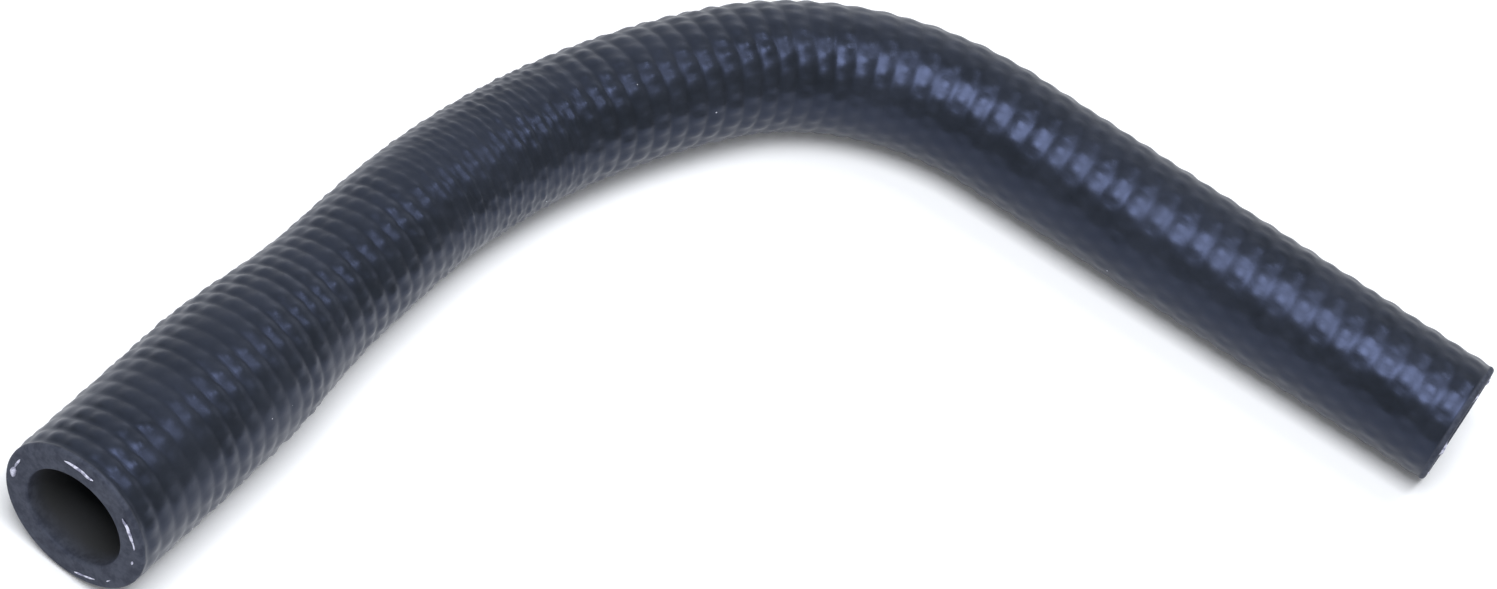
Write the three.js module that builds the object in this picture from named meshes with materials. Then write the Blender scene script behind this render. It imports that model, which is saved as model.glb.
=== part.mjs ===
// Moulded rubber coolant hose: one tube with an enlarged end, a long gentle bend and a tighter one.
// Millimetres, +Z up. The hose lies on its side on the ground, its small leg pointing along +X
// and its large end coming forward, towards -Y. The origin is on the ground, under the middle.
import * as THREE from "three";
import { mergeVertices } from "three/addons/utils/BufferGeometryUtils.js";

// Diameters of the tube, at each end.
const SMALL_OUTER_DIAMETER = 25;
const SMALL_BORE_DIAMETER = 16;
const LARGE_OUTER_DIAMETER = 30;
const LARGE_BORE_DIAMETER = 20;

// Lengths along the middle line, from the large end, and how far the enlarged end reaches.
const LARGE_LEG_LENGTH = 87;
const SMALL_LEG_LENGTH = 103;
const ENLARGED_LENGTH = 38;
const TAPER_LENGTH = 36;

// The two bends, one running into the other.
const LONG_BEND_RADIUS = 166;
const LONG_BEND_DEGREES = 29;
const TIGHT_BEND_RADIUS = 58.5;
const TIGHT_BEND_DEGREES = 57;

// Soft edges of the two cut faces.
const OUTER_RIM_RADIUS = 0.8;
const BORE_RIM_RADIUS = 0.5;

// Fineness of the faceted surface.
const SIDES = 32;
const BEND_STEP_DEGREES = 5;
const TAPER_STEPS = 8;
const RIM_STEPS = 3;
const LEG_STEPS = 3;

const rubber = new THREE.MeshStandardMaterial({ color: 0x1d2024, roughness: 0.5, metalness: 0 });

// The middle line as stretches of constant curvature: its length and how far it turns.
const longBend = THREE.MathUtils.degToRad(LONG_BEND_DEGREES);
const tightBend = THREE.MathUtils.degToRad(TIGHT_BEND_DEGREES);
const stretches = [
  { length: LARGE_LEG_LENGTH, turn: 0, steps: LEG_STEPS },
  {
    length: LONG_BEND_RADIUS * longBend,
    turn: longBend,
    steps: Math.ceil(LONG_BEND_DEGREES / BEND_STEP_DEGREES),
  },
  {
    length: TIGHT_BEND_RADIUS * tightBend,
    turn: tightBend,
    steps: Math.ceil(TIGHT_BEND_DEGREES / BEND_STEP_DEGREES),
  },
  { length: SMALL_LEG_LENGTH, turn: 0, steps: LEG_STEPS },
];
const hoseLength = stretches.reduce((sum, stretch) => sum + stretch.length, 0);
const wholeTurn = longBend + tightBend;

// One stretch followed for a distance: the heading turns clockwise, seen from above.
function follow(start, stretch, distance) {
  const turned = (stretch.turn * distance) / stretch.length;
  const heading = start.heading - turned;
  if (stretch.turn === 0) {
    const along = new THREE.Vector2(Math.cos(heading), Math.sin(heading));
    return { point: start.point.clone().addScaledVector(along, distance), heading };
  }
  const radius = stretch.length / stretch.turn;
  const chord = new THREE.Vector2(
    Math.sin(start.heading) - Math.sin(heading),
    Math.cos(heading) - Math.cos(start.heading),
  );
  return { point: start.point.clone().addScaledVector(chord, radius), heading };
}

// The place on the middle line at a distance from the large end. The small leg ends up along +X.
function middleLine(distance) {
  let place = { point: new THREE.Vector2(), heading: wholeTurn };
  let left = distance;
  for (const stretch of stretches) {
    const walked = Math.min(left, stretch.length);
    place = follow(place, stretch, walked);
    left -= walked;
  }
  return place;
}

// How much of the enlargement is left at a distance from the large end: 1 there, 0 past the taper.
function enlargement(distance) {
  const share = THREE.MathUtils.clamp((distance - ENLARGED_LENGTH) / TAPER_LENGTH, 0, 1);
  return (1 + Math.cos(Math.PI * share)) / 2;
}

const outerRadius = (distance) =>
  THREE.MathUtils.lerp(SMALL_OUTER_DIAMETER, LARGE_OUTER_DIAMETER, enlargement(distance)) / 2;
const boreRadius = (distance) =>
  THREE.MathUtils.lerp(SMALL_BORE_DIAMETER, LARGE_BORE_DIAMETER, enlargement(distance)) / 2;

// Evenly spaced distances from one place to another, both included.
function evenly(from, to, steps) {
  return Array.from({ length: steps + 1 }, (_, step) => THREE.MathUtils.lerp(from, to, step / steps));
}

// Where the wall gets a ring of corners: steps along each stretch, and closer ones in the taper.
function ringDistances() {
  const taperEnd = ENLARGED_LENGTH + TAPER_LENGTH;
  const rings = evenly(ENLARGED_LENGTH, taperEnd, TAPER_STEPS);
  let start = 0;
  for (const stretch of stretches) {
    const end = start + stretch.length;
    const inStretch = evenly(start, end, stretch.steps).slice(1);
    rings.push(...inStretch.filter((ring) => ring < ENLARGED_LENGTH || ring > taperEnd));
    start = end;
  }
  rings.sort((a, b) => a - b);
  return rings.slice(0, -1);
}

// A quarter circle that softens an edge of a cut face, from one angle to another.
function softEdge(centreRadius, centreDistance, radius, fromAngle, toAngle) {
  const points = [];
  for (let step = 0; step <= RIM_STEPS; step += 1) {
    const angle = THREE.MathUtils.lerp(fromAngle, toAngle, step / RIM_STEPS);
    const across = centreRadius + radius * Math.cos(angle);
    points.push(new THREE.Vector2(across, centreDistance + radius * Math.sin(angle)));
  }
  return points;
}

// The wall's section as if the hose were straight: up its outside, over the small end's face,
// down the bore and back over the large end's face.
function wallSection() {
  const outer = OUTER_RIM_RADIUS;
  const inner = BORE_RIM_RADIUS;
  const quarter = Math.PI / 2;
  const rings = ringDistances();
  const largeOuterEdge = softEdge(outerRadius(0) - outer, outer, outer, -quarter, 0);
  const smallOuterEdge = softEdge(outerRadius(hoseLength) - outer, hoseLength - outer, outer, 0, quarter);
  const smallBoreEdge = softEdge(boreRadius(hoseLength) + inner, hoseLength - inner, inner, quarter, 2 * quarter);
  const largeBoreEdge = softEdge(boreRadius(0) + inner, inner, inner, 2 * quarter, 3 * quarter);
  const outside = rings.map((ring) => new THREE.Vector2(outerRadius(ring), ring));
  const bore = rings.map((ring) => new THREE.Vector2(boreRadius(ring), ring)).reverse();
  return [
    ...largeOuterEdge,
    ...outside,
    ...smallOuterEdge,
    ...smallBoreEdge,
    ...bore,
    ...largeBoreEdge,
    largeOuterEdge[0],
  ];
}

// The straight tube, turned from its section, then laid along the middle line ring by ring.
function hoseGeometry() {
  const turned = new THREE.LatheGeometry(wallSection(), SIDES);
  turned.deleteAttribute("normal");
  turned.deleteAttribute("uv");
  const tube = mergeVertices(turned);
  const corners = tube.attributes.position;
  for (let corner = 0; corner < corners.count; corner += 1) {
    const sideways = corners.getX(corner);
    const upwards = corners.getZ(corner);
    const { point, heading } = middleLine(corners.getY(corner));
    const x = point.x + sideways * Math.sin(heading);
    const y = point.y - sideways * Math.cos(heading);
    corners.setXYZ(corner, x, y, upwards);
  }
  tube.computeVertexNormals();
  return tube;
}

// At rest the hose lies on its small leg and on the underside of its thicker large end,
// so its plane leans just enough for every ring of the enlarged end to clear the ground.
const reach = middleLine(hoseLength).point.y;
const enlargedRings = ringDistances().filter((ring) => enlargement(ring) > 0);
const leanFor = (ring) =>
  Math.asin((outerRadius(ring) - SMALL_OUTER_DIAMETER / 2) / (reach - middleLine(ring).point.y));
const restLean = Math.max(...enlargedRings.map(leanFor));

const hose = new THREE.Mesh(hoseGeometry(), rubber);
hose.name = "hose_body";
hose.geometry.translate(0, -reach, 0);
hose.rotation.x = -restLean;

const coolantHose = new THREE.Group();
coolantHose.add(hose);
coolantHose.updateMatrixWorld(true);
const extent = new THREE.Box3().setFromObject(coolantHose, true);
const middle = extent.getCenter(new THREE.Vector3());
coolantHose.position.set(-middle.x, -middle.y, -extent.min.z);

export default coolantHose;
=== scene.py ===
# %% [markdown]
# A moulded coolant hose, from a straight tube to a finished render.
#
# The real hose starts as a straight tube of uncured rubber with a yarn knitted round it and a thin
# cover over the yarn. It is pushed onto a bent steel mandrel, one end of which is thicker, and cured
# there, so it keeps the bends and the enlarged end. This lesson makes it in much the same order: a
# straight blank, the rubber's finish, a node tree that lays the blank along a bent middle line and
# raises the ribs of the knit, the cut yarn ends, and last the floor, the lamps and the camera.

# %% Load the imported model
import math

import bpy
from mathutils import Matrix, Quaternion, Vector


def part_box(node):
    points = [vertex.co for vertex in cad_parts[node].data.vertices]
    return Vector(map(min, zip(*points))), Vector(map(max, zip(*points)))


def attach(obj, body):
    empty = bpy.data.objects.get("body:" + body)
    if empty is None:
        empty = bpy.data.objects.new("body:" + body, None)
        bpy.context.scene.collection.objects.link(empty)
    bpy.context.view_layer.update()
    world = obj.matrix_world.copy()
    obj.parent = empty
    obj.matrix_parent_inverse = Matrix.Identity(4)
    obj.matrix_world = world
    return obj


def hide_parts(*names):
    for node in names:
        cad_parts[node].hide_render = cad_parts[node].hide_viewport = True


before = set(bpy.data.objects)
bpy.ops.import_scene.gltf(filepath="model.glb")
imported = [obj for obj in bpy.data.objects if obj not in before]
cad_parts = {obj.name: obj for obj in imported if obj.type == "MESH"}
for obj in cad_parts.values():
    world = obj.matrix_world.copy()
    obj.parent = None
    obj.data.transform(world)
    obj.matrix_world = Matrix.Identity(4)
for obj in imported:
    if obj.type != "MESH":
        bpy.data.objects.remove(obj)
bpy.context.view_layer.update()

hose_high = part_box("hose_body")[1]

# %% [markdown]
# The sizes are the real ones, in millimetres, and every place is worked out from them. A hose like
# this is told by its two bores, its wall, the lengths of its legs and the radius and angle of each bend.

# %% Sizes of the hose
MM = 0.001
SMALL_OUTER_RADIUS = 12.5 * MM
SMALL_BORE_RADIUS = 8.0 * MM
LARGE_OUTER_RADIUS = 15.0 * MM
LARGE_BORE_RADIUS = 10.0 * MM
OUTER_RIM_RADIUS = 0.8 * MM
BORE_RIM_RADIUS = 0.5 * MM

ENLARGED_LENGTH = 38.0 * MM
TAPER_LENGTH = 36.0 * MM
LARGE_LEG = 87.0 * MM
SMALL_LEG = 103.0 * MM
LONG_BEND_RADIUS = 166.0 * MM
LONG_BEND = math.radians(29)
TIGHT_BEND_RADIUS = 58.5 * MM
TIGHT_BEND = math.radians(57)

STRETCHES = [
    (LARGE_LEG, 0.0),
    (LONG_BEND_RADIUS * LONG_BEND, LONG_BEND),
    (TIGHT_BEND_RADIUS * TIGHT_BEND, TIGHT_BEND),
    (SMALL_LEG, 0.0),
]
HOSE_LENGTH = sum(length for length, turn in STRETCHES)
print("length along the middle line:", round(HOSE_LENGTH / MM, 1), "mm")


def enlargement(along):
    """1 on the enlarged end, easing to 0 at the end of the taper."""
    share = min(max((along - ENLARGED_LENGTH) / TAPER_LENGTH, 0.0), 1.0)
    return (1 + math.cos(math.pi * share)) / 2


def outer_radius(along):
    return SMALL_OUTER_RADIUS + (LARGE_OUTER_RADIUS - SMALL_OUTER_RADIUS) * enlargement(along)


def bore_radius(along):
    return SMALL_BORE_RADIUS + (LARGE_BORE_RADIUS - SMALL_BORE_RADIUS) * enlargement(along)


# %% [markdown]
# The middle line is the path that a ball would roll through the bore. It lies in one plane, and it is
# walked here stretch by stretch: straight, long bend, tight bend, straight. A Bezier curve could be
# drawn by eye instead, but the mandrel is made of straights and true arcs, and so is this path.
#
# The thick end lies on the ground with its side, so the plane leans by about a degree. The small leg's
# side is also on the ground, and its end face is the model's outermost face, which fixes the place.

# %% The middle line
def walk(along):
    """Place in the hose's own plane, and heading, at a distance from the large end."""
    x = y = 0.0
    heading = LONG_BEND + TIGHT_BEND
    left = along
    for length, turn in STRETCHES:
        step = min(max(left, 0.0), length)
        turned = heading - turn * step / length
        if turn:
            radius = length / turn
            x += radius * (math.sin(heading) - math.sin(turned))
            y += radius * (math.cos(turned) - math.cos(heading))
        else:
            x += step * math.cos(heading)
            y += step * math.sin(heading)
        heading = turned
        left -= step
    return x, y, heading


FAR_X, FAR_Y, _ = walk(HOSE_LENGTH)


def lean_for(along):
    """How far the plane must lean for the tube to clear the ground at this distance."""
    rise = outer_radius(along) - SMALL_OUTER_RADIUS
    return math.asin(rise / (FAR_Y - walk(along)[1]))


LEAN = max(lean_for(LARGE_LEG * step / 60) for step in range(60))
PLANE_UP = Vector((0, math.sin(LEAN), math.cos(LEAN)))
PLANE_NORTH = Vector((0, math.cos(LEAN), -math.sin(LEAN)))
SMALL_END = Vector((hose_high.x, hose_high.y - SMALL_OUTER_RADIUS, SMALL_OUTER_RADIUS))
print("the plane of the hose leans by", round(math.degrees(LEAN), 2), "degrees")


def middle(along):
    """Place of the middle line in the model's frame, at a distance from the large end."""
    x, y, _ = walk(along)
    return SMALL_END + Vector((x - FAR_X, 0, 0)) + PLANE_NORTH * (y - FAR_Y)


def spaced(start, end, count):
    return [start + (end - start) * step / count for step in range(count + 1)]


PATH_STEPS = 360
path_data = bpy.data.curves.new("middle_line", "CURVE")
path_data.dimensions = "3D"
path_spline = path_data.splines.new("POLY")
path_spline.points.add(PATH_STEPS)
for point, along in zip(path_spline.points, spaced(0.0, HOSE_LENGTH, PATH_STEPS)):
    point.co = (*middle(along), 1.0)
middle_line = bpy.data.objects.new("middle_line", path_data)
bpy.context.scene.collection.objects.link(middle_line)
print("large end's middle:", [round(c / MM, 1) for c in middle(0.0)])

# %% [markdown]
# The blank is the tube before it is bent: rings of corners round the Z axis, each ring at its distance
# along the hose. The section is closed, going up the outside, over the small end's face, down the bore
# and back over the large end's face, so the wall has its real thickness and no open edge.
#
# Three values are kept for each corner. "skin" is 1 on the outside and "cut" is 1 on the two cut faces, so
# that later steps know where the ribs and the finishes belong. "ribs" counts the ribs from the large end.
# Their spacing isn't even: the knit is stretched over the thick end, and pulled along in the tight bend.

# %% The straight blank
SIDES = 96
SKIN_STEP = 0.41 * MM
BORE_STEP = 4.0 * MM
RIM_STEPS = 4
FACE_STEPS = 3

RIB_SPACING = [
    (0.0, 3.58 * MM),
    (38.0 * MM, 3.56 * MM),
    (75.0 * MM, 3.48 * MM),
    (125.0 * MM, 3.40 * MM),
    (148.0 * MM, 4.33 * MM),
    (229.0 * MM, 4.40 * MM),
    (267.0 * MM, 4.60 * MM),
    (HOSE_LENGTH, 4.65 * MM),
]


def rib_spacing(along):
    for (near, first), (far, last) in zip(RIB_SPACING, RIB_SPACING[1:]):
        if along <= far:
            return first + (last - first) * (along - near) / (far - near)
    return RIB_SPACING[-1][1]


def rib_counts(places):
    """Number of ribs from the large end to each place, for places in rising order."""
    counts = []
    count = 0.0
    last = 0.0
    for along in places:
        count += (along - last) / rib_spacing((along + last) / 2)
        last = along
        counts.append(count)
    return counts


def soft_edge(centre_radius, centre_along, radius, start, end):
    """A quarter circle over an edge of a cut face, as (radius, along) points."""
    return [
        (centre_radius + radius * math.cos(angle), centre_along + radius * math.sin(angle))
        for angle in spaced(start, end, RIM_STEPS)
    ]


def between(first, last, count):
    """Points strictly between two points of the section."""
    shares = spaced(0.0, 1.0, count)[1:-1]
    return [tuple(a + (b - a) * share for a, b in zip(first, last)) for share in shares]


def wall_section():
    """The closed section as (radius, along) points, and the skin, cut and ribs of each point."""
    quarter = math.pi / 2
    outer, inner = OUTER_RIM_RADIUS, BORE_RIM_RADIUS
    large_outer = soft_edge(outer_radius(0) - outer, outer, outer, -quarter, 0)
    small_outer = soft_edge(SMALL_OUTER_RADIUS - outer, HOSE_LENGTH - outer, outer, 0, quarter)
    small_bore = soft_edge(SMALL_BORE_RADIUS + inner, HOSE_LENGTH - inner, inner, quarter, 2 * quarter)
    large_bore = soft_edge(bore_radius(0) + inner, inner, inner, 2 * quarter, 3 * quarter)
    skin_count = round((HOSE_LENGTH - 2 * outer) / SKIN_STEP)
    skin = [(outer_radius(a), a) for a in spaced(outer, HOSE_LENGTH - outer, skin_count)[1:-1]]
    bore_count = round((HOSE_LENGTH - 2 * inner) / BORE_STEP)
    bore = [(bore_radius(a), a) for a in spaced(HOSE_LENGTH - inner, inner, bore_count)[1:-1]]
    small_cut = [*small_outer, *between(small_outer[-1], small_bore[0], FACE_STEPS), *small_bore]
    large_cut = [*large_bore, *between(large_bore[-1], large_outer[0], FACE_STEPS), *large_outer]
    marks = {
        "skin": [1.0] * len(skin) + [0.0] * len(small_cut + bore + large_cut),
        "cut": [0.0] * len(skin) + [1.0] * len(small_cut) + [0.0] * len(bore) + [1.0] * len(large_cut),
        "ribs": rib_counts([along for _, along in skin]) + [0.0] * len(small_cut + bore + large_cut),
    }
    return skin + small_cut + bore + large_cut, marks


def straight_blank():
    section, marks = wall_section()
    turns = [2 * math.pi * side / SIDES for side in range(SIDES)]
    corners = [(r * math.cos(a), r * math.sin(a), along) for r, along in section for a in turns]
    faces = []
    for ring in range(len(section)):
        next_ring = (ring + 1) % len(section)
        for side in range(SIDES):
            next_side = (side + 1) % SIDES
            faces.append((
                ring * SIDES + side,
                ring * SIDES + next_side,
                next_ring * SIDES + next_side,
                next_ring * SIDES + side,
            ))
    mesh = bpy.data.meshes.new("moulded_hose")
    mesh.from_pydata(corners, [], faces)
    for name, values in marks.items():
        mark = mesh.attributes.new(name, "FLOAT", "POINT")
        mark.data.foreach_set("value", [value for value in values for _ in range(SIDES)])
    return mesh


hose = bpy.data.objects.new("moulded_hose", straight_blank())
bpy.context.scene.collection.objects.link(hose)
print("blank:", len(hose.data.vertices), "corners,", 2 * len(hose.data.polygons), "triangles")

# %% [markdown]
# Node trees hold the maths of the surface, for shapes and for colours alike. Wiring Math nodes one by
# one is hard to read, so two small helpers are made first. A Value wraps a socket, and Python's own
# operators on it add the Math nodes. A Tree adds any other node in one call: its kind, its settings,
# which are set first, and what goes into its sockets.

# %% Helpers for node trees
class Value:
    """One number that flows through a tree, with Python's operators."""

    def __init__(self, tree, socket):
        self.tree = tree
        self.socket = socket

    def math(self, operation, *others, first=None):
        node = self.tree.nodes.new("ShaderNodeMath")
        node.operation = operation
        for slot, item in zip(node.inputs, (self if first is None else first, *others)):
            join(self.tree, item, slot)
        return Value(self.tree, node.outputs[0])

    def __add__(self, other):
        return self.math("ADD", other)

    def __sub__(self, other):
        return self.math("SUBTRACT", other)

    def __rsub__(self, other):
        return self.math("SUBTRACT", self, first=other)

    def __mul__(self, other):
        return self.math("MULTIPLY", other)

    __radd__ = __add__
    __rmul__ = __mul__


def join(tree, item, slot):
    """Links a Value or a socket to a slot, or sets the slot to a constant."""
    if isinstance(item, Value):
        tree.links.new(item.socket, slot)
    elif isinstance(item, bpy.types.NodeSocket):
        tree.links.new(item, slot)
    else:
        slot.default_value = item


class Tree:
    """A node tree that is written down call by call."""

    def __init__(self, tree):
        self.tree = tree

    def node(self, kind, settings=None, inputs=None):
        """Adds a node: its settings come first, then what goes into its sockets."""
        made = self.tree.nodes.new(kind)
        for name, setting in (settings or {}).items():
            setattr(made, name, setting)
        for name, item in (inputs or {}).items():
            join(self.tree, item, made.inputs[name])
        return made

    def value(self, kind, settings=None, inputs=None, output=0):
        return Value(self.tree, self.node(kind, settings, inputs).outputs[output])

    def split(self, vector):
        """The three numbers of a vector."""
        parts = self.node("ShaderNodeSeparateXYZ", inputs={0: vector}).outputs
        return [Value(self.tree, part) for part in parts]

    def mark(self, name):
        """One of the values kept for each corner, read in a geometry tree."""
        return self.value("GeometryNodeInputNamedAttribute", {"data_type": "FLOAT"}, {"Name": name})

    def vector(self, operation, *items, scale=None):
        """Vector Math on vectors. SCALE takes a number as well."""
        node = self.node("ShaderNodeVectorMath", {"operation": operation})
        for slot, item in zip(node.inputs, items):
            join(self.tree, item, slot)
        if scale is not None:
            join(self.tree, scale, node.inputs["Scale"])
        return node.outputs["Vector"]


def shape_tree(name, sizes):
    """A geometry tree with a named input for each size, and its Tree and input values."""
    group = bpy.data.node_groups.new(name, "GeometryNodeTree")
    group.interface.new_socket("Geometry", in_out="INPUT", socket_type="NodeSocketGeometry")
    for size, socket_type in sizes.items():
        group.interface.new_socket(size, in_out="INPUT", socket_type=socket_type)
    group.interface.new_socket("Geometry", in_out="OUTPUT", socket_type="NodeSocketGeometry")
    tree = Tree(group)
    given = tree.node("NodeGroupInput").outputs
    return group, tree, {socket.name: Value(group, socket) for socket in given if socket.name}


def end_shape_tree(tree, geometry, finish):
    """Ends a geometry tree: smooth shading, instances made real, the finish set, and the result out."""
    smooth = tree.node("GeometryNodeSetShadeSmooth", inputs={"Geometry": geometry}).outputs[0]
    real = tree.node("GeometryNodeRealizeInstances", inputs={"Geometry": smooth}).outputs[0]
    finished = tree.node("GeometryNodeSetMaterial", inputs={"Geometry": real, "Material": finish})
    tree.node("NodeGroupOutput", inputs={"Geometry": finished.outputs[0]})


def run_tree(piece, group, sizes):
    """Runs a geometry tree on a piece and leaves the result as its plain mesh."""
    modifier = piece.modifiers.new(group.name, "NODES")
    modifier.node_group = group
    for item in group.interface.items_tree:
        if item.in_out == "INPUT" and item.name in sizes:
            modifier[item.identifier] = sizes[item.name]
    graph = bpy.context.evaluated_depsgraph_get()
    plain = bpy.data.meshes.new_from_object(piece.evaluated_get(graph), depsgraph=graph)
    piece.modifiers.remove(modifier)
    plain.name = piece.name
    piece.data = plain
    print(piece.name, "has", sum(len(face.vertices) - 2 for face in plain.polygons), "triangles")

# %% [markdown]
# The finish comes next, because the node trees hand it to the pieces. Moulded hose rubber is a very dark
# blue-grey with a dull shine. Its colour is a little paler on the crests of the ribs, a painted highlight,
# and darker in the grooves, a painted shade, and the crests are a little smoother. Slow blotches come from
# the moulding steam, a fine grain from the rubber itself, and a few specks of dust lie on it. The bore is
# plain and darker. The cut faces are paler and duller, as a knife leaves them.
#
# A photograph of a hose could be wrapped round it instead, but a texture made of numbers stays sharp at
# any size and carries no picture.

# %% Helpers for finishes
def mixed(tree, share, first, second):
    """One colour that turns into another as the share goes from 0 to 1."""
    # A Mix node keeps a set of sockets for each kind of data: those of its colours are 6, 7 and 2.
    node = tree.node("ShaderNodeMix", {"data_type": "RGBA"}, {0: share, 6: first, 7: second})
    return node.outputs[2]


def noise(tree, place, size, detail=2.0, roughness=0.5):
    """A cloudy value round 0.5, whose blotches are about the size given."""
    inputs = {"Vector": place, "Scale": 1 / size, "Detail": detail, "Roughness": roughness}
    return tree.value("ShaderNodeTexNoise", inputs=inputs)


def eased(tree, value, low, high, to_low=0.0, to_high=1.0):
    """The value's range from low to high, stretched smoothly to another range."""
    settings = {"interpolation_type": "SMOOTHSTEP"}
    inputs = {"Value": value, 1: low, 2: high, 3: to_low, 4: to_high}
    return tree.value("ShaderNodeMapRange", settings, inputs)


def new_material(name):
    material = bpy.data.materials.new(name)
    material.use_nodes = True
    material.node_tree.nodes.clear()
    return material, Tree(material.node_tree)


def corner_value(tree, name):
    """One of the values kept for each corner, read in a material."""
    return tree.value("ShaderNodeAttribute", {"attribute_name": name}, output="Fac")


# %% The rubber
SKIN_DARK = (0.013, 0.015, 0.017, 1)
SKIN_PALE = (0.022, 0.025, 0.031, 1)
CUT_DARK = (0.030, 0.032, 0.040, 1)
CUT_PALE = (0.060, 0.065, 0.080, 1)
BORE_COLOUR = (0.055, 0.055, 0.052, 1)
DUST_COLOUR = (0.55, 0.56, 0.62, 1)

BLUE_SHINE = (0.46, 0.56, 1.0, 1)
BLOTCH_SIZE = 14 * MM
THREAD_SIZE = 2.2 * MM
GRAIN_SIZE = 0.7 * MM
GRAIN_HEIGHT = 0.010 * MM
CUT_GRAIN_HEIGHT = 0.03 * MM
THREAD_HEIGHT = 0.05 * MM
SKIN_ROUGHNESS = 0.39
BORE_ROUGHNESS = 0.62
CUT_EXTRA_ROUGHNESS = 0.12

# How far apart the specks of dust are, and where a speck's edge starts and ends as a share of that.
DUST_SPACING = 11 * MM
DUST_EDGE = (0.010, 0.018)

rubber, rubber_tree = new_material("hose_rubber")
place = rubber_tree.node("ShaderNodeTexCoord").outputs["Object"]
relief = corner_value(rubber_tree, "relief")
skin = corner_value(rubber_tree, "skin")
cut = corner_value(rubber_tree, "cut")

blotches = noise(rubber_tree, place, BLOTCH_SIZE, detail=3.0)
grain = noise(rubber_tree, place, GRAIN_SIZE, detail=3.0, roughness=0.6)
threads = noise(rubber_tree, place, THREAD_SIZE)
crest = eased(rubber_tree, relief, -0.5, 0.45)
# The crest share paints a highlight on the crests of the ribs and a shade in the grooves; the blotches and
# threads are the rubber's own uneven tone.
skin_tone_and_groove_shade = eased(rubber_tree, 0.20 * crest + 0.7 * blotches + 0.3 * threads, 0.35, 0.85)
skin_colour = mixed(rubber_tree, skin_tone_and_groove_shade, SKIN_DARK, SKIN_PALE)
cut_shade = eased(rubber_tree, 0.6 * threads + 0.4 * grain, 0.35, 0.65)
cut_colour = mixed(rubber_tree, cut_shade, CUT_DARK, CUT_PALE)
inner_colour = mixed(rubber_tree, cut, BORE_COLOUR, cut_colour)
plain_colour = mixed(rubber_tree, skin, inner_colour, skin_colour)

speck_settings = {"feature": "F1", "distance": "EUCLIDEAN"}
speck_inputs = {"Vector": place, "Scale": 1 / DUST_SPACING, "Randomness": 1.0}
specks = rubber_tree.value("ShaderNodeTexVoronoi", speck_settings, speck_inputs, output="Distance")
dust = eased(rubber_tree, specks, *DUST_EDGE, 1.0, 0.0) * skin
rubber_colour = mixed(rubber_tree, dust, plain_colour, DUST_COLOUR)

skin_unevenness = 0.20 * (blotches - 0.5) + 0.16 * (threads - 0.5)
skin_roughness = SKIN_ROUGHNESS - 0.04 * crest + skin_unevenness
inner_roughness = BORE_ROUGHNESS + CUT_EXTRA_ROUGHNESS * cut
rubber_roughness = inner_roughness + skin * (skin_roughness - inner_roughness)
bump_height = (GRAIN_HEIGHT + CUT_GRAIN_HEIGHT * cut) * grain + THREAD_HEIGHT * threads
bump_inputs = {"Strength": 0.8, "Distance": 1.0, "Height": bump_height}
bump = rubber_tree.node("ShaderNodeBump", inputs=bump_inputs)

rubber_shader = rubber_tree.node("ShaderNodeBsdfPrincipled", inputs={
    "Base Color": rubber_colour,
    "Roughness": rubber_roughness,
    "Normal": bump.outputs["Normal"],
    "Specular IOR Level": 0.5,
    "Specular Tint": BLUE_SHINE,
})
rubber_tree.node("ShaderNodeOutputMaterial", inputs={"Surface": rubber_shader.outputs[0]})
print("rubber nodes:", len(rubber.node_tree.nodes))

# %% [markdown]
# Now the hose takes its shape. The node tree does what the mandrel does: each corner of the blank has a
# distance along it, so the tree looks up the middle line at that distance and puts the corner on the
# ring that stands square to it. The ribs are raised on the way. The yarn lies in loops: a row of loops
# makes one rib round the hose, with a groove to the next, and each loop bulges a little, half a loop
# further on from row to row. A slow noise lets parts of a row stand out less, as on the real hose.
#
# The ribs also differ along the hose. Where the long bend starts, each one splits in two. From the tight
# bend on, the knit is pulled along, and its ribs are lower and rounder. Each of these changes is a value
# that eases from one distance to another, so the hose stays one piece.
#
# An array along a curve would also bend a tube, but it would repeat one rib, and here the wall's thickness
# and the rib spacing change from end to end.

# %% Sizes of the ribs
LOOPS_ROUND = 22.0
RELIEF_HEIGHT = 0.48 * MM
THIN_LEG_RELIEF = 0.54
GROOVE_DEPTH = 0.42
LOOP_SHARE = 0.34
PATCH_SIZE = 15 * MM
PATCH_EDGE = (0.34, 0.64)

# How far a row strays, in ribs: with the noise, and in two waves round the hose. The noise shifts the
# loops too, by an angle.
WAVER_SIZE = 9 * MM
ROW_WAVER = 0.32
ROW_WAVES = 0.05
LOOP_WAVER = 3.0

# Distances from the large end between which something changes.
SPLIT_BEGINS = (84 * MM, 98 * MM)
SPLIT_ENDS = (126 * MM, 140 * MM)
ROWS_EVEN_OUT = (90 * MM, 150 * MM)
KNIT_STRETCHES = (150 * MM, 215 * MM)

# How far the ribs split, how round they are before and after the knit stretches, how faint the faintest
# part of a row is before and after the rows even out, and how strong the strongest part is.
SPLIT_SHARE = 0.55
ROUNDNESS = (0.40, 0.90)
FAINTEST = (0.5, 0.9)
STRONGEST = 1.12
loop_width = 2 * math.pi * SMALL_OUTER_RADIUS / LOOPS_ROUND
print("a loop on the thin leg is", round(loop_width / MM, 1), "mm wide")

# %% The relief of the ribs
bend_group, bend_tree, given = shape_tree("bend_and_rib", {
    "Middle line": "NodeSocketObject",
    "Plane up": "NodeSocketVector",
    "Relief height": "NodeSocketFloat",
    "Relief on the thin leg": "NodeSocketFloat",
    "Loops round": "NodeSocketFloat",
    "Finish": "NodeSocketMaterial",
})
straight = bend_tree.node("GeometryNodeInputPosition").outputs[0]
across, upwards, along = bend_tree.split(straight)
radius = (across * across + upwards * upwards).math("SQRT")
around = upwards.math("ARCTAN2", across)
patches = noise(bend_tree, straight, PATCH_SIZE, detail=1.0)
waver = noise(bend_tree, straight, WAVER_SIZE, detail=1.0)

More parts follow.
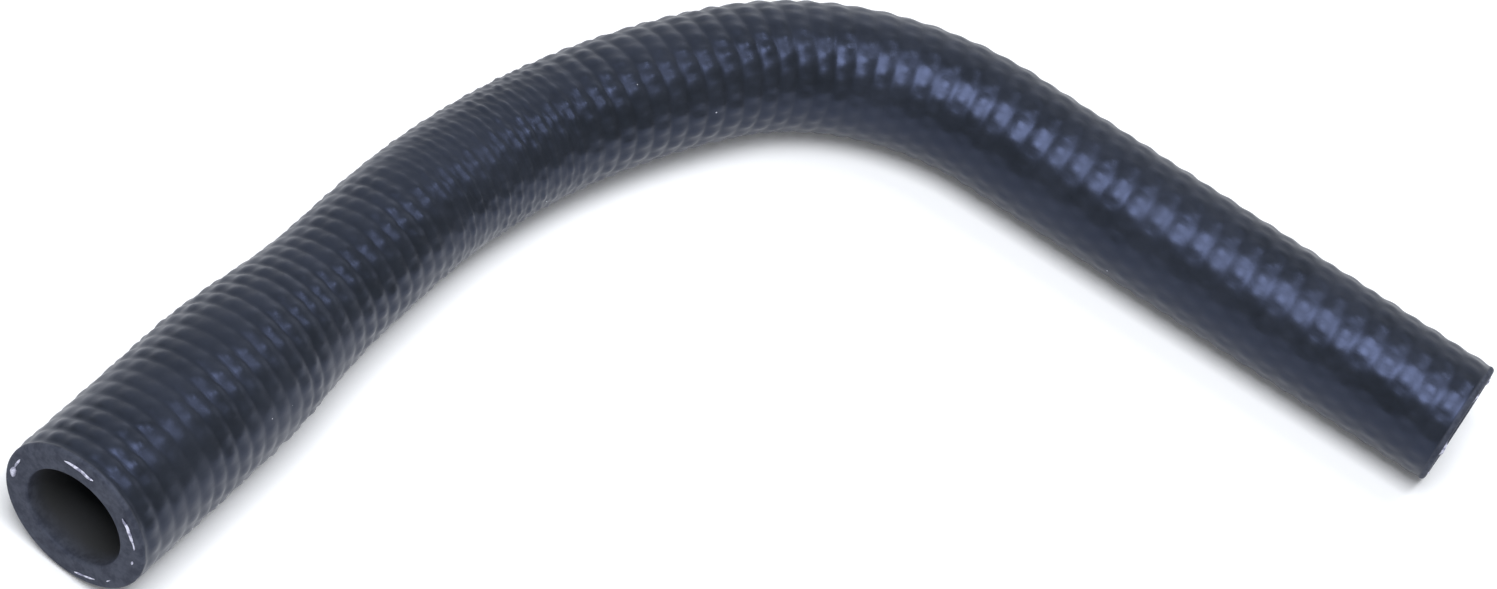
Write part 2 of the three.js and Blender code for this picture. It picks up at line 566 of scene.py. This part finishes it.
rib = bend_tree.mark("ribs") + ROW_WAVER * (waver - 0.5) + ROW_WAVES * (around * 2.0).math("SINE")
row = (rib + 0.5).math("FLOOR")
from_crest = 2.0 * (rib - row)
half_rib = rib + rib
from_half_crest = 2.0 * (half_rib - (half_rib + 0.5).math("FLOOR"))
split_begun = eased(bend_tree, along, *SPLIT_BEGINS)
split = split_begun * eased(bend_tree, along, *SPLIT_ENDS, SPLIT_SHARE, 0.0)
dome = 1.0 - from_crest * from_crest * (1.0 - split) - from_half_crest * from_half_crest * split
roundness = eased(bend_tree, along, *KNIT_STRETCHES, *ROUNDNESS)
rounded = dome * (1.0 - roundness + roundness * dome)

loop = (around * given["Loops round"] + row * math.pi + LOOP_WAVER * waver).math("COSINE")
looped = rounded * (1.0 - LOOP_SHARE + LOOP_SHARE * loop)
thinned = eased(bend_tree, along, *KNIT_STRETCHES, 1.0, given["Relief on the thin leg"])
faintest = eased(bend_tree, along, *ROWS_EVEN_OUT, *FAINTEST)
strength = eased(bend_tree, patches, *PATCH_EDGE, faintest, STRONGEST) * thinned
relief = bend_tree.mark("skin") * strength * (looped - GROOVE_DEPTH)
print("nodes for the relief:", len(bend_group.nodes))

# %% The hose laid along its path
path_info = bend_tree.node("GeometryNodeObjectInfo", inputs={"Object": given["Middle line"]})
sample_settings = {"mode": "LENGTH", "use_all_curves": True}
sample_inputs = {"Curves": path_info.outputs["Geometry"], "Length": along}
sample = bend_tree.node("GeometryNodeSampleCurve", sample_settings, sample_inputs)
plane_up = given["Plane up"]
leftwards = bend_tree.vector("CROSS_PRODUCT", plane_up, sample.outputs["Tangent"])
left = bend_tree.vector("NORMALIZE", leftwards)
ring_radius = radius + given["Relief height"] * relief
sideways = bend_tree.vector("SCALE", left, scale=ring_radius * around.math("COSINE"))
lifted = bend_tree.vector("SCALE", plane_up, scale=ring_radius * around.math("SINE"))
beside = bend_tree.vector("ADD", sample.outputs["Position"], sideways)
bent = bend_tree.vector("ADD", beside, lifted)

store_settings = {"data_type": "FLOAT"}
store_inputs = {"Geometry": given["Geometry"], "Name": "relief", "Value": relief}
stored = bend_tree.node("GeometryNodeStoreNamedAttribute", store_settings, store_inputs)
laid_inputs = {"Geometry": stored.outputs[0], "Position": bent}
laid = bend_tree.node("GeometryNodeSetPosition", inputs=laid_inputs)
end_shape_tree(bend_tree, laid.outputs[0], given["Finish"])

run_tree(hose, bend_group, {
    "Middle line": middle_line,
    "Plane up": tuple(PLANE_UP),
    "Relief height": RELIEF_HEIGHT,
    "Relief on the thin leg": THIN_LEG_RELIEF,
    "Loops round": LOOPS_ROUND,
    "Finish": rubber,
})
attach(hose, "root")
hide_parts("hose_body")
heights = [corner.co.z for corner in hose.data.vertices]
print("lowest and highest point:", round(min(heights) / MM, 2), round(max(heights) / MM, 2), "mm")

# %% [markdown]
# The knife that cuts the hose to length also cuts the yarn, and its white ends show on the faces as short
# bright strokes, where a loop happens to lie in the plane of the cut. Each stroke is a thread that is half
# sunk in the rubber: an arc of points drawn in Python, swept into a round thread by a node tree that thins
# it towards both ends and lets it waver.

# %% The yarn finish
YARN_PALE = (0.72, 0.72, 0.86, 1)
YARN_GREY = (0.26, 0.26, 0.36, 1)

FIBRE_SIZE = 0.9 * MM
FIBRE_HEIGHT = 0.1 * MM

yarn_finish, yarn_tree = new_material("cut_yarn")
place = yarn_tree.node("ShaderNodeTexCoord").outputs["Object"]
fibres = noise(yarn_tree, place, FIBRE_SIZE, detail=3.0)
yarn_shade = eased(yarn_tree, fibres, 0.38, 0.58)
bump_inputs = {"Strength": 0.6, "Distance": 1.0, "Height": FIBRE_HEIGHT * fibres}
yarn_bump = yarn_tree.node("ShaderNodeBump", inputs=bump_inputs)
yarn_shader = yarn_tree.node("ShaderNodeBsdfPrincipled", inputs={
    "Base Color": mixed(yarn_tree, yarn_shade, YARN_GREY, YARN_PALE),
    "Roughness": 0.45 + 0.3 * fibres,
    "Normal": yarn_bump.outputs["Normal"],
})
yarn_tree.node("ShaderNodeOutputMaterial", inputs={"Surface": yarn_shader.outputs[0]})
print("yarn nodes:", len(yarn_finish.node_tree.nodes))

# %% Where the yarn ends lie
YARN_RADIUS = 0.30 * MM
YARN_WAVER = 1.1 * MM
WAVER_LENGTH = 3 * MM
LARGE_YARN_RING = 13.2 * MM
SMALL_YARN_RING = 10.9 * MM
STROKE_STEP = 2.0

# Each stroke starts and ends at an angle in degrees, from the hose's left-hand side up over the top.
# Its last number is its thickness as a share of the yarn's.
LARGE_STROKES = [
    (71, 98, 1.0),
    (134, 164, 1.0),
    (-5, 8, 2.1),
    (10, 19, 0.8),
    (-123, -104, 0.8),
    (-140, -132, 0.6),
    (176, 180, 0.7),
]
SMALL_STROKES = [
    (12, 30, 0.9),
    (95, 108, 0.7),
    (150, 171, 1.0),
    (-84, -71, 0.6),
    (-150, -128, 0.8),
]


def on_ring(along, radius, around):
    """A place round the middle line: the angle goes from the left-hand side up over the top."""
    heading = walk(along)[2]
    left = Vector((-math.sin(heading), 0, 0)) + PLANE_NORTH * math.cos(heading)
    return middle(along) + (left * math.cos(around) + PLANE_UP * math.sin(around)) * radius


def yarn_strokes(name, along, ring, strokes):
    """Chains of points for the strokes on one face, with how thick the thread is at each."""
    corners = []
    edges = []
    thick = []
    for start, end, weight in strokes:
        count = max(3, round((end - start) / STROKE_STEP))
        first = len(corners)
        for step, degrees in enumerate(spaced(start, end, count)):
            corners.append(on_ring(along, ring, math.radians(degrees)))
            thick.append(weight * (0.25 + 0.75 * math.sin(math.pi * step / count) ** 0.6))
        edges += [(corner, corner + 1) for corner in range(first, len(corners) - 1)]
    mesh = bpy.data.meshes.new(name)
    mesh.from_pydata(corners, edges, [])
    mesh.attributes.new("thick", "FLOAT", "POINT").data.foreach_set("value", thick)
    piece = bpy.data.objects.new(name, mesh)
    bpy.context.scene.collection.objects.link(piece)
    return piece


# %% The cut yarn ends
thread_group, thread_tree, given = shape_tree("thread_on_face", {
    "Thread radius": "NodeSocketFloat",
    "Waver": "NodeSocketFloat",
    "Finish": "NodeSocketMaterial",
})
spot = thread_tree.node("GeometryNodeInputPosition").outputs[0]
wander_inputs = {"Vector": spot, "Scale": 1 / WAVER_LENGTH, "Detail": 1.0}
wander = thread_tree.node("ShaderNodeTexNoise", inputs=wander_inputs).outputs["Color"]
centred = thread_tree.vector("SUBTRACT", wander, (0.5, 0.5, 0.5))
offset = thread_tree.vector("SCALE", centred, scale=given["Waver"])
moved_inputs = {"Geometry": given["Geometry"], "Offset": offset}
moved = thread_tree.node("GeometryNodeSetPosition", inputs=moved_inputs).outputs[0]
thread = thread_tree.node("GeometryNodeMeshToCurve", inputs={"Mesh": moved}).outputs[0]
profile_inputs = {"Resolution": 8, "Radius": given["Thread radius"]}
round_profile = thread_tree.node("GeometryNodeCurvePrimitiveCircle", inputs=profile_inputs)
swept = thread_tree.node("GeometryNodeCurveToMesh", inputs={
    "Curve": thread,
    "Profile Curve": round_profile.outputs[0],
    "Scale": thread_tree.mark("thick"),
    "Fill Caps": True,
})
end_shape_tree(thread_tree, swept.outputs[0], given["Finish"])

yarn_sizes = {"Thread radius": YARN_RADIUS, "Waver": YARN_WAVER, "Finish": yarn_finish}
yarn_pieces = [
    yarn_strokes("large_end_yarn", 0.0, LARGE_YARN_RING, LARGE_STROKES),
    yarn_strokes("small_end_yarn", HOSE_LENGTH, SMALL_YARN_RING, SMALL_STROKES),
]
for piece in yarn_pieces:
    run_tree(piece, thread_group, yarn_sizes)
    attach(piece, "root")

bpy.data.objects.remove(middle_line)

# %% [markdown]
# The hose lies on a plain white floor, which throws light back at its underside. The floor glows a
# little, so that it stays white where the lamps fade.

# %% The floor
FLOOR_REACH = 6.0
FLOOR_PATCH_SIZE = 0.4
FLOOR_WHITE = (0.93, 0.93, 0.93, 1)
FLOOR_OFF_WHITE = (0.90, 0.90, 0.91, 1)
FLOOR_GLOW = 0.10

quarters = [(-1, -1), (1, -1), (1, 1), (-1, 1)]
floor_mesh = bpy.data.meshes.new("floor")
floor_corners = [(x * FLOOR_REACH, y * FLOOR_REACH, 0.0) for x, y in quarters]
floor_mesh.from_pydata(floor_corners, [], [(0, 1, 2, 3)])
floor = bpy.data.objects.new("floor", floor_mesh)
bpy.context.scene.collection.objects.link(floor)

white_floor, floor_tree = new_material("white_floor")
place = floor_tree.node("ShaderNodeTexCoord").outputs["Object"]
floor_shade = noise(floor_tree, place, FLOOR_PATCH_SIZE)
floor_shader = floor_tree.node("ShaderNodeBsdfPrincipled", inputs={
    "Base Color": mixed(floor_tree, floor_shade, FLOOR_WHITE, FLOOR_OFF_WHITE),
    "Roughness": 0.9,
    "Specular IOR Level": 0.1,
    "Emission Color": (1.0, 1.0, 1.0, 1),
    "Emission Strength": FLOOR_GLOW,
})
floor_tree.node("ShaderNodeOutputMaterial", inputs={"Surface": floor_shader.outputs[0]})
floor_mesh.materials.append(white_floor)
print("the floor reaches", FLOOR_REACH, "m each way")

# %% [markdown]
# Dark rubber shows little of its own colour and much of the shape of what it reflects, so the lamps are
# rectangles, not points. A broad panel nearly overhead makes the bright band along the thin leg, and its
# size sets the band's width. A narrow panel further back carries the band on round the bends. Two large
# faint ones behind the hose light its far edge, and a pale room fills in the rest.

# %% The lamps and the room
LAMP_DISTANCE = 1.6
LAMP_COLOUR = (0.95, 0.97, 1.0)
ROOM_COLOUR = (0.86, 0.92, 1.0, 1)
ROOM_STRENGTH = 0.18

# For each lamp: the way to it from the hose, the way its length runs, its width and length in metres,
# and how bright its surface is.
LAMPS = {
    "overhead_panel": ((0.05, -0.29, 0.94), (0, 1, 0), (0.76, 0.92), 11.8),
    "back_panel": ((0.25, 0.36, 0.90), (-0.42, 0.91, 0), (0.18, 0.50), 14.0),
    "back_left_fill": ((-0.60, 0.62, 0.50), (1, 1, 0), (1.8, 1.8), 0.6),
    "back_fill": ((0.10, 0.95, 0.30), (1, 0, 0), (0.7, 2.0), 0.8),
}


def soft_lamp(name, direction, lengthwise, size, brightness):
    """A rectangular lamp that faces the hose."""
    width, length = size
    data = bpy.data.lights.new(name, "AREA")
    data.shape = "RECTANGLE"
    data.size = width
    data.size_y = length
    data.energy = brightness * math.pi * width * length
    data.color = LAMP_COLOUR
    facing = Vector(direction).normalized()
    across = Vector(lengthwise).cross(facing).normalized()
    axes = Matrix((across, facing.cross(across), facing)).transposed()
    lamp = bpy.data.objects.new(name, data)
    lamp.rotation_mode = "QUATERNION"
    lamp.rotation_quaternion = axes.to_quaternion()
    lamp.location = facing * LAMP_DISTANCE
    bpy.context.scene.collection.objects.link(lamp)
    print(name, "uses", round(data.energy, 1), "W")


for name, values in LAMPS.items():
    soft_lamp(name, *values)

world = bpy.data.worlds.new("pale_room")
bpy.context.scene.world = world
world.use_nodes = True
world.node_tree.nodes.clear()
room_tree = Tree(world.node_tree)
room_inputs = {"Color": ROOM_COLOUR, "Strength": ROOM_STRENGTH}
room = room_tree.node("ShaderNodeBackground", inputs=room_inputs)
room_tree.node("ShaderNodeOutputWorld", inputs={"Surface": room.outputs[0]})
bpy.context.scene.view_settings.view_transform = "Standard"

# %% [markdown]
# The camera looks down at about 50 degrees, from nearly a metre away, and is rolled so that the hose lies
# across the picture. Its place was worked out beforehand by fitting a round tube to the outline in the
# photograph, together with the camera's own angles. It is written as the point that it looks at, and
# how far, from which side and how high it looks, which is easier to read than a matrix.

# %% Camera
CAMERA_TARGET = Vector((-20.9, 22.36, 12.5)) * MM
CAMERA_DISTANCE = 918.1 * MM
CAMERA_AZIMUTH = math.radians(-13.31)
CAMERA_ELEVATION = math.radians(50.16)
CAMERA_ROLL = math.radians(22.89)
SENSOR_WIDTH = 36.0
LENS = 120.24

compass = Vector((math.sin(CAMERA_AZIMUTH), math.cos(CAMERA_AZIMUTH), 0))
forward = compass * math.cos(CAMERA_ELEVATION) - Vector((0, 0, math.sin(CAMERA_ELEVATION)))
unrolled = forward.to_track_quat("-Z", "Y")
camera_data = bpy.data.cameras.new("camera")
camera_data.sensor_width = SENSOR_WIDTH
camera_data.lens = LENS
camera = bpy.data.objects.new("camera", camera_data)
camera.location = CAMERA_TARGET - forward * CAMERA_DISTANCE
camera.rotation_mode = "QUATERNION"
camera.rotation_quaternion = unrolled @ Quaternion((0, 0, 1), CAMERA_ROLL)
bpy.context.scene.collection.objects.link(camera)
bpy.context.scene.camera = camera
print("camera at", [round(c / MM) for c in camera.location], "mm")
